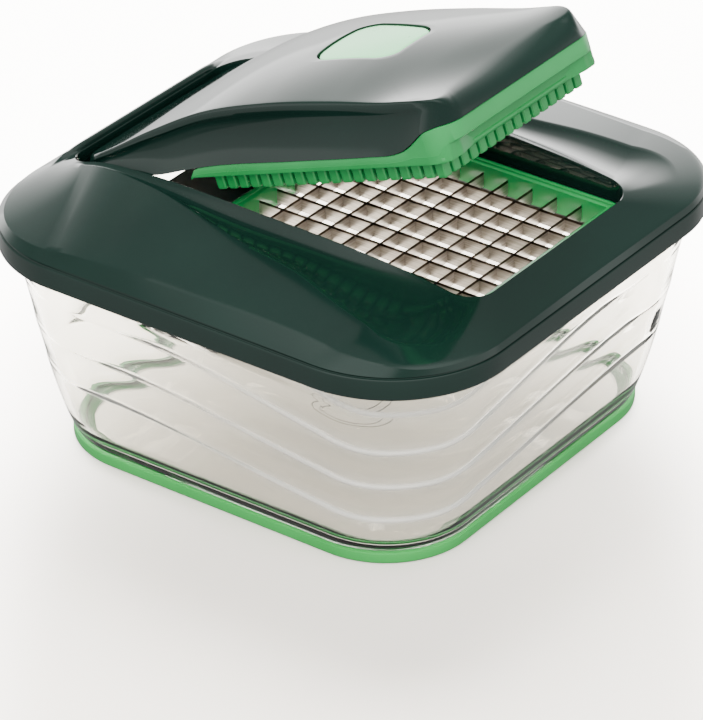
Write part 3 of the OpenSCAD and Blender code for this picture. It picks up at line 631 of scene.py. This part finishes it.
lever_rows += [top_row(in_share + (1 - in_share) * t) for t in np.linspace(0, 0.985, 24)[1:]]
for grow, drop in ((0.30, 0.1), (0.25, 0.5), (0.25, SHELL_T)):
    lever_rows.append(at_height(button_loop(grow), top_z(button_loop(grow)) - drop))
for t in np.linspace(0, 1, 8):
    flat = hole + (crease_loop * [0.955, 0.975] - hole) * t
    lever_rows.append(at_height(flat, top_z(flat) - SHELL_T))
inner_low = low_edge * [0.955, 1, 1]
inner_low[:, 1] = (LEVER_Y0 + SHELL_T
                   + (inner_low[:, 1] - LEVER_Y0) * (1 - 2 * SHELL_T / (LEVER_Y1 - LEVER_Y0)))
lever_rows.append(inner_low)
lever = skin("lever_shell_gloss", opened(lever_rows), "lever", dark_abs, ring=True, crease=24)
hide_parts("lever_shell")

# ---- lever deck, latch slides and springs ----
# Inside the shell: a satin deck that carries the stamp, two acetal latch slides, their fine return springs
# and the button's spring, all of drawn stainless wire.
acetal = moulded("acetal, natural white", "#b9bdb9", "#c3c7c3", 0.35, 20, 0.6, 0.002)
spring_wire = ground_steel("drawn spring wire", "#9a9c9f", "#b6b8ba", 0.3, 0.4, (1, 1, 1))
for node_name, finish in (("lever_base", satin_abs), ("latch_slide_left", acetal),
                          ("latch_slide_right", acetal), ("button_spring", spring_wire),
                          ("latch_spring_left", spring_wire), ("latch_spring_right", spring_wire)):
    give(node_name, finish)

# ---- stamp ----
# One moulding of mid green ABS: a back plate with 16 by 20 square pins, slightly tapered for draft, their
# corners and tips rounded, four to each cell of the blade grid.
PIN_PITCH, PIN_W, TIP_Z, STAMP_Z0, STAMP_T = 6.0, 4.7, 97.5, 107.8, 2.8
GRID_Y0, GRID_Y1 = -90.0, 30.0
PIN_SECTION = [(0.98, 107.8), (0.96, 99.0), (0.93, 98.3), (0.8, 97.75), (0.55, TIP_Z)]
half = PIN_W / 2
chamfer = 0.55
octagon = np.array([(half, half - chamfer), (half - chamfer, half), (chamfer - half, half),
                    (-half, half - chamfer), (-half, chamfer - half), (chamfer - half, -half),
                    (half - chamfer, -half), (half, chamfer - half)])
levels = np.stack([at_height(octagon * scale, z) for scale, z in PIN_SECTION[::-1]])
pin_x = -GRID_HW + PIN_PITCH * (np.arange(16) + 0.5)
pin_y = GRID_Y0 + PIN_PITCH * (np.arange(20) + 0.5)
centres = np.stack([*np.meshgrid(pin_x, pin_y), np.zeros((20, 16))], -1).reshape(-1, 1, 1, 3)
pins = centres + levels[None]
count, tiers, sides = pins.shape[:3]
first = (np.arange(count) * tiers * sides)[:, None, None]
tier, corner = np.meshgrid(np.arange(tiers - 1) * sides, np.arange(sides), indexing="ij")
follow = (corner + 1) % sides
pin_faces = np.stack([first + tier + corner, first + tier + follow, first + tier + sides + follow,
                      first + tier + sides + corner], -1).reshape(-1, 4).tolist()
tip_faces = (first[:, :, 0] + np.arange(sides)[::-1]).tolist()
root_faces = (first[:, :, 0] + (tiers - 1) * sides + np.arange(sides)).tolist()
green_abs = moulded("stamp green ABS, semi-gloss", "#1f8542", "#288f4b", 0.3, 30, 0.7, 0.004)
pin_mesh = bpy.data.meshes.new("stamp_pins")
pin_mesh.from_pydata((opened(pins).reshape(-1, 3) / 1000).tolist(), [], pin_faces + tip_faces + root_faces)
stamp_pins = finish_piece("stamp_pins", pin_mesh, "lever", green_abs, crease=32)
plate_rows = [at_height(rounded(47.5 - d, GRID_Y0 + 0.5 + d, GRID_Y1 - 0.5 - d, 1.5, 6, 4), z)
              for d, z in [(0.4, STAMP_Z0), (0, STAMP_Z0 + 0.4), (0, STAMP_Z0 + STAMP_T - 0.4),
                           (0.4, STAMP_Z0 + STAMP_T)]]
skin("stamp_plate", opened(plate_rows), "lever", green_abs)
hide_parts("stamp")

# ---- cleaning grid ----
# A green moulding that slides on the pins and clears them after a press. Its plate has a square hole for
# each pin, and its rim runs round three sides up to the shell, rising at the front into a grip.
COMB_Z0, COMB_Z1, COMB_HW, HOLE_W = 105.3, 107.5, 53.0, 5.1
GRIP_Y, COMB_BACK = -99.5, 36.0


def hole_lines(centres, edge_low, edge_high):
    """Sorted edges of the holes along one axis, with the plate's own edges at both ends."""
    edges = np.stack([centres - HOLE_W / 2, centres + HOLE_W / 2], -1).ravel()
    return np.concatenate([[edge_low], edges, [edge_high]])


plate_x = hole_lines(pin_x, -COMB_HW + 1.5, COMB_HW - 1.5)
plate_y = hole_lines(pin_y, -94.5, COMB_BACK - 2)
grid_x, grid_y = np.meshgrid(plate_x, plate_y)
plate_points = np.stack([grid_x, grid_y, np.full_like(grid_x, COMB_Z1)], -1)
row, column = np.meshgrid(np.arange(len(plate_y) - 1), np.arange(len(plate_x) - 1), indexing="ij")
solid = ~((row % 2 == 1) & (column % 2 == 1))
start = (row * len(plate_x) + column)[solid]
plate_faces = np.stack([start, start + 1, start + 1 + len(plate_x), start + len(plate_x)], -1).tolist()
plate_mesh = bpy.data.meshes.new("cleaning_plate")
plate_mesh.from_pydata((opened(plate_points).reshape(-1, 3) / 1000).tolist(), [], plate_faces)
cleaning_plate = finish_piece("cleaning_plate", plate_mesh, "lever", green_abs)
thick = cleaning_plate.modifiers.new("thickness", "SOLIDIFY")
thick.thickness, thick.offset = (COMB_Z1 - COMB_Z0) / 1000, -1

# The rim's path, from its left rear end round the front to its right rear end
rim_loop = rounded(COMB_HW, GRIP_Y, COMB_BACK + 12, 12, 24, 60)
rim_turn = turn_share(24, 60)
rim_path = rim_loop[(rim_turn >= 1.5) & (rim_turn <= 4)]
rim_path = np.concatenate([rim_path, rim_loop[:1]])
tangent = np.gradient(rim_path, axis=0)
tangent /= np.linalg.norm(tangent, axis=1)[:, None]
outward = np.stack([tangent[:, 1], -tangent[:, 0]], -1)
rim_share = along(rim_path[:, 1])
rim_top = RIM_Z + through(rim_share, LOW_Z) - 0.25
nose = np.sqrt(np.clip(1 - (np.clip(rim_path[:, 1] - 30, 0, 6) / 6) ** 2, 0, 1))
rim_top = COMB_Z0 + (rim_top - COMB_Z0) * (0.15 + 0.85 * nose)
# At the front the face below the grip's band is set back, to clear the mouth; less so towards both corners
front = ease(-rim_path[:, 1], 96, 99)
set_back = front * (2.2 + 2.9 * (1 - ease(np.abs(rim_path[:, 0]), 30, 47)))
band_z = np.minimum(112.4, rim_top - 0.8)
band_z = COMB_Z0 + (band_z - COMB_Z0) * (0.5 + 0.5 * ease(-rim_path[:, 1], 92, 96.5))
rim_section = [(set_back + 0.6, np.full(len(front), COMB_Z0)), (set_back + 0.15, COMB_Z0 + 0.15),
               (set_back, COMB_Z0 + 0.6), (set_back, band_z - 0.5), (set_back - 0.1, band_z - 0.1),
               (0.3 * front, band_z), (0.0, band_z + 0.35), (0.0, rim_top - 0.5), (0.2, rim_top - 0.12),
               (0.6, rim_top), (2.0, rim_top), (2.0 + 3.2 * front, COMB_Z1), (2.0 + 4.4 * front, COMB_Z0)]
rim_rows = np.stack([at_height(rim_path - outward * np.reshape(d, (-1, 1)), z) for d, z in rim_section], 1)
rim_grid = skin("cleaning_grid_rim", opened(rim_rows)[::-1], "lever", green_abs, crease=30)
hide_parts("cleaning_grid")

# ---- push button ----
# The release button, moulded in pale mint ABS. Its cap follows the lever's crown, a little below it.
mint_abs = moulded("mint ABS, semi-gloss", "#7cd48f", "#88da9a", 0.28, 30, 0.6, 0.003)
centre = np.array([0, (BUTTON_Y0 + BUTTON_Y1) / 2])
button_rows = []
for grow, drop in [(-1.8, 7.6), (-0.3, 7.6), (-0.3, 1.6), (-0.38, 1.1), (-0.6, 0.78), (-1.0, 0.63)]:
    loop = button_loop(grow)
    button_rows.append(at_height(loop, top_z(loop) - drop))
for f in np.linspace(0.9, 0.05, 10):
    loop = centre + (button_loop(-0.3) - centre) * f
    button_rows.append(at_height(loop, top_z(loop) - 0.6))
button = skin("push_button_cap", opened(button_rows), "button", mint_abs)
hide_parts("push_button")
